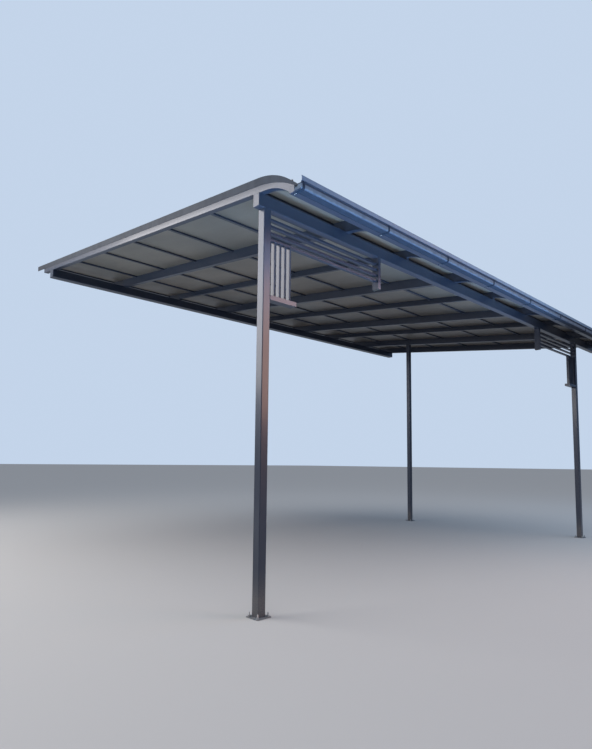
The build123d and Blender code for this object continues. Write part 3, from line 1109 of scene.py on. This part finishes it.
class CARPORT_OT_gutter_straps(bpy.types.Operator):
    """Wrap a strap round the gutter at each bracket and screw the bracket to the eave rail"""

    bl_idname = "carport.gutter_straps"
    bl_label = "Gutter straps"

    def execute(self, context):
        sizes = context.scene.carport_sizes
        rail_low, rail_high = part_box("eave_rail")
        width = sizes.strap_width
        straps = []
        turns = []
        for low, high in solids_of("gutter_brackets"):
            centre = ((low.x + high.x) / 2, 0.0, 0.0)
            straps.append(fattened_slice("gutter", "strap", centre, (1.0, 0.0, 0.0), width, STRAP_GROWTH))
            for share in BRACKET_SCREWS:
                y = rail_low.y + (rail_high.y - rail_low.y) * share * BRACKET_REACH
                turns.append(turned_to(Vector((centre[0], y, low.z)), (1.0, 0.0, 0.0), (0.0, 0.0, -1.0)))
        dressed(joined("gutter_straps", *straps), "gutter_coating")
        pan = start("uv_sphere", "pan_head", segments=12, ring_count=6, radius=0.0055, scale=(1.0, 1.0, 0.55))
        with Shaping(pan) as shaping:
            bpy.ops.mesh.select_all(action="SELECT")
            bpy.ops.mesh.bisect(
                plane_co=(0.0, 0.0, 0.0), plane_no=(0.0, 0.0, 1.0), use_fill=True, clear_inner=True
            )
            crown = 0.0027
            shaping.inset(lambda face: face.calc_center_median().z > crown, width=0.0004, rise=-0.0006)
        smooth(pan)
        dressed(repeated("bracket_screws", coated(pan, "zinc_plate"), turns))
        return {"FINISHED"}


class CARPORT_OT_flashing_laps(bpy.types.Operator):
    """Lap the edge flashings over each other where their lengths meet"""

    bl_idname = "carport.flashing_laps"
    bl_label = "Flashing laps"

    def execute(self, context):
        sizes = context.scene.carport_sizes
        for side in ("left", "right"):
            node = f"edge_flashing_{side}"
            laps = []
            for number in range(LAP_COUNT):
                y = sizes.lap_start + number * sizes.lap_pitch
                nearest = min(NODES[node].data.vertices, key=lambda corner: abs(corner.co.y - y))
                centre = (0.0, y, nearest.co.z)
                laps.append(fattened_slice(node, "lap", centre, SLOPE, sizes.lap_width, LAP_GROWTH))
            dressed(joined(f"flashing_laps_{side}", *laps), "flashing_coating")
        return {"FINISHED"}


def soft_panel(name, place, aim, width, height, power, tint, spread):
    """Area light that faces a point and doesn't show itself."""
    lamp = given(bpy.data.lights.new(name, "AREA"), energy=power, color=tint, spread=math.radians(spread))
    panel = linked(name, given(lamp, shape="RECTANGLE", size=width, size_y=height))
    panel.location = place
    panel.rotation_euler = (Vector(aim) - Vector(place)).to_track_quat("-Z", "Y").to_euler()
    panel.visible_camera = False


def studio_world():
    """Pale backdrop for the camera, with a dimmer even light from all around."""
    world = bpy.data.worlds.new("studio")
    world.use_nodes = True
    tree = world.node_tree
    rays = tree.nodes.new("ShaderNodeLightPath")
    choice = tree.nodes.new("ShaderNodeMixShader")
    tree.links.new(rays.outputs["Is Camera Ray"], choice.inputs["Fac"])
    lights = ((ROOM_COLOUR, ROOM_STRENGTH), (BACKDROP_COLOUR, 1.0))
    for place, (colour, strength) in enumerate(lights, start=1):
        light = tree.nodes.new("ShaderNodeBackground")
        light.inputs["Color"].default_value = (*colour, 1.0)
        light.inputs["Strength"].default_value = strength
        tree.links.new(light.outputs[0], choice.inputs[place])
    tree.links.new(choice.outputs[0], tree.nodes["World Output"].inputs["Surface"])
    return world


class CARPORT_OT_stage(bpy.types.Operator):
    """Add the floor, the soft light and the camera of the photograph's view"""

    bl_idname = "carport.stage"
    bl_label = "Stage"

    def execute(self, context):
        middle = middle_of([Vector(corner) for corner in CAD_BOX])
        floor = start("plane", "studio_floor", (middle.x, middle.y, 0.0), size=FLOOR_SIZE)
        floor.data.materials.append(floor_finish(context.scene.carport_finishes))

        context.scene.world = studio_world()
        for panel in STUDIO_PANELS:
            soft_panel(*panel)
        overhead = bpy.data.lights.new("overhead", "SUN")
        overhead.energy = OVERHEAD_LIGHT
        overhead.color = OVERHEAD_COLOUR
        overhead.angle = math.radians(OVERHEAD_SOFTNESS)
        lamp = linked("overhead", overhead)
        lamp.rotation_euler = [math.radians(tilt) for tilt in (*OVERHEAD_TILT, 0.0)]

        lens = bpy.data.cameras.new("photo_camera")
        lens.sensor_width = SENSOR
        lens.clip_end = FLOOR_SIZE
        lens.lens = PHOTO_FOCAL_PIXELS * SENSOR / PHOTO_HEIGHT
        lens.shift_x = (PHOTO_WIDTH / 2 - PHOTO_CENTRE[0]) / PHOTO_HEIGHT
        lens.shift_y = (PHOTO_CENTRE[1] - PHOTO_HEIGHT / 2) / PHOTO_HEIGHT
        camera = linked("photo_camera", lens)
        right = Vector(CAMERA_RIGHT).normalized()
        up = (Vector(CAMERA_UP) - right * right.dot(CAMERA_UP)).normalized()
        turn = Matrix((right, up, right.cross(up))).transposed()
        camera.matrix_world = Matrix.Translation(CAMERA_PLACE) @ turn.to_4x4()
        context.scene.camera = camera
        context.scene.view_settings.view_transform = "Standard"
        return {"FINISHED"}


class CARPORT_PT_sidebar(bpy.types.Panel):
    """Buttons and values of the carport"""

    bl_idname = "CARPORT_PT_sidebar"
    bl_label = "Carport"
    bl_space_type = "VIEW_3D"
    bl_region_type = "UI"
    bl_category = "Carport"

    def draw(self, context):
        for step in STEPS:
            self.layout.operator(step.bl_idname)
        for group in (context.scene.carport_finishes, context.scene.carport_sizes):
            for name in type(group).__annotations__:
                self.layout.prop(group, name)


STEPS = (
    CARPORT_OT_finishes,
    CARPORT_OT_anchor_bolts,
    CARPORT_OT_post_welds,
    CARPORT_OT_rafter_welds,
    CARPORT_OT_purlin_welds,
    CARPORT_OT_ladder_welds,
    CARPORT_OT_end_caps,
    CARPORT_OT_roof_screws,
    CARPORT_OT_tail_profiles,
    CARPORT_OT_gutter_straps,
    CARPORT_OT_flashing_laps,
    CARPORT_OT_stage,
)
CLASSES = (CarportFinishes, CarportSizes, *STEPS, CARPORT_PT_sidebar)


def register():
    for entry in CLASSES:
        bpy.utils.register_class(entry)
    bpy.types.Scene.carport_finishes = PointerProperty(type=CarportFinishes)
    bpy.types.Scene.carport_sizes = PointerProperty(type=CarportSizes)


def unregister():
    del bpy.types.Scene.carport_finishes
    del bpy.types.Scene.carport_sizes
    for entry in reversed(CLASSES):
        bpy.utils.unregister_class(entry)


def main():
    register()
    for step in STEPS:
        family, action = step.bl_idname.split(".")
        getattr(getattr(bpy.ops, family), action)()


if __name__ == "__main__":
    main()
